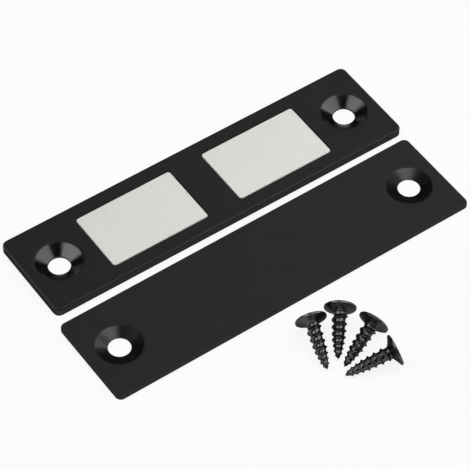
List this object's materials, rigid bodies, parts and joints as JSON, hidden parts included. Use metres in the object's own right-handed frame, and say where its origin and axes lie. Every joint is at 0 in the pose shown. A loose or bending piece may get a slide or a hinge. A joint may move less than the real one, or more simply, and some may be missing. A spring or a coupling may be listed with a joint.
{
  "type": "magnetic catch",
  "caption": "Flat magnetic door catch: a screw-on plate with flush block magnets, a matching steel strike plate and countersunk screws.",
  "frame": {"origin": "middle of the magnet half's underside, on the surface it is screwed to", "axes": "+X along the length of the magnet half, +Z out of its magnet face, -Y towards the strike plate lying beside it"},
  "size_m": [0.0812, 0.0665, 0.006],
  "materials": {
    "frame_coating": "satin black powder coat",
    "magnet_plating": "brushed nickel plating",
    "yoke_steel": "zinc-plated sheet",
    "strike_coating": "matt black powder coat",
    "screw_black": "black zinc"
  },
  "bodies": {
    "root": {"magnet_frame": "frame_coating", "magnet_left": "magnet_plating", "magnet_right": "magnet_plating", "back_plate": "yoke_steel", "strike_plate": "strike_coating", "screw_1": "screw_black", "screw_2": "screw_black", "screw_3": "screw_black", "screw_4": "screw_black"}
  },
  "joints": []
}
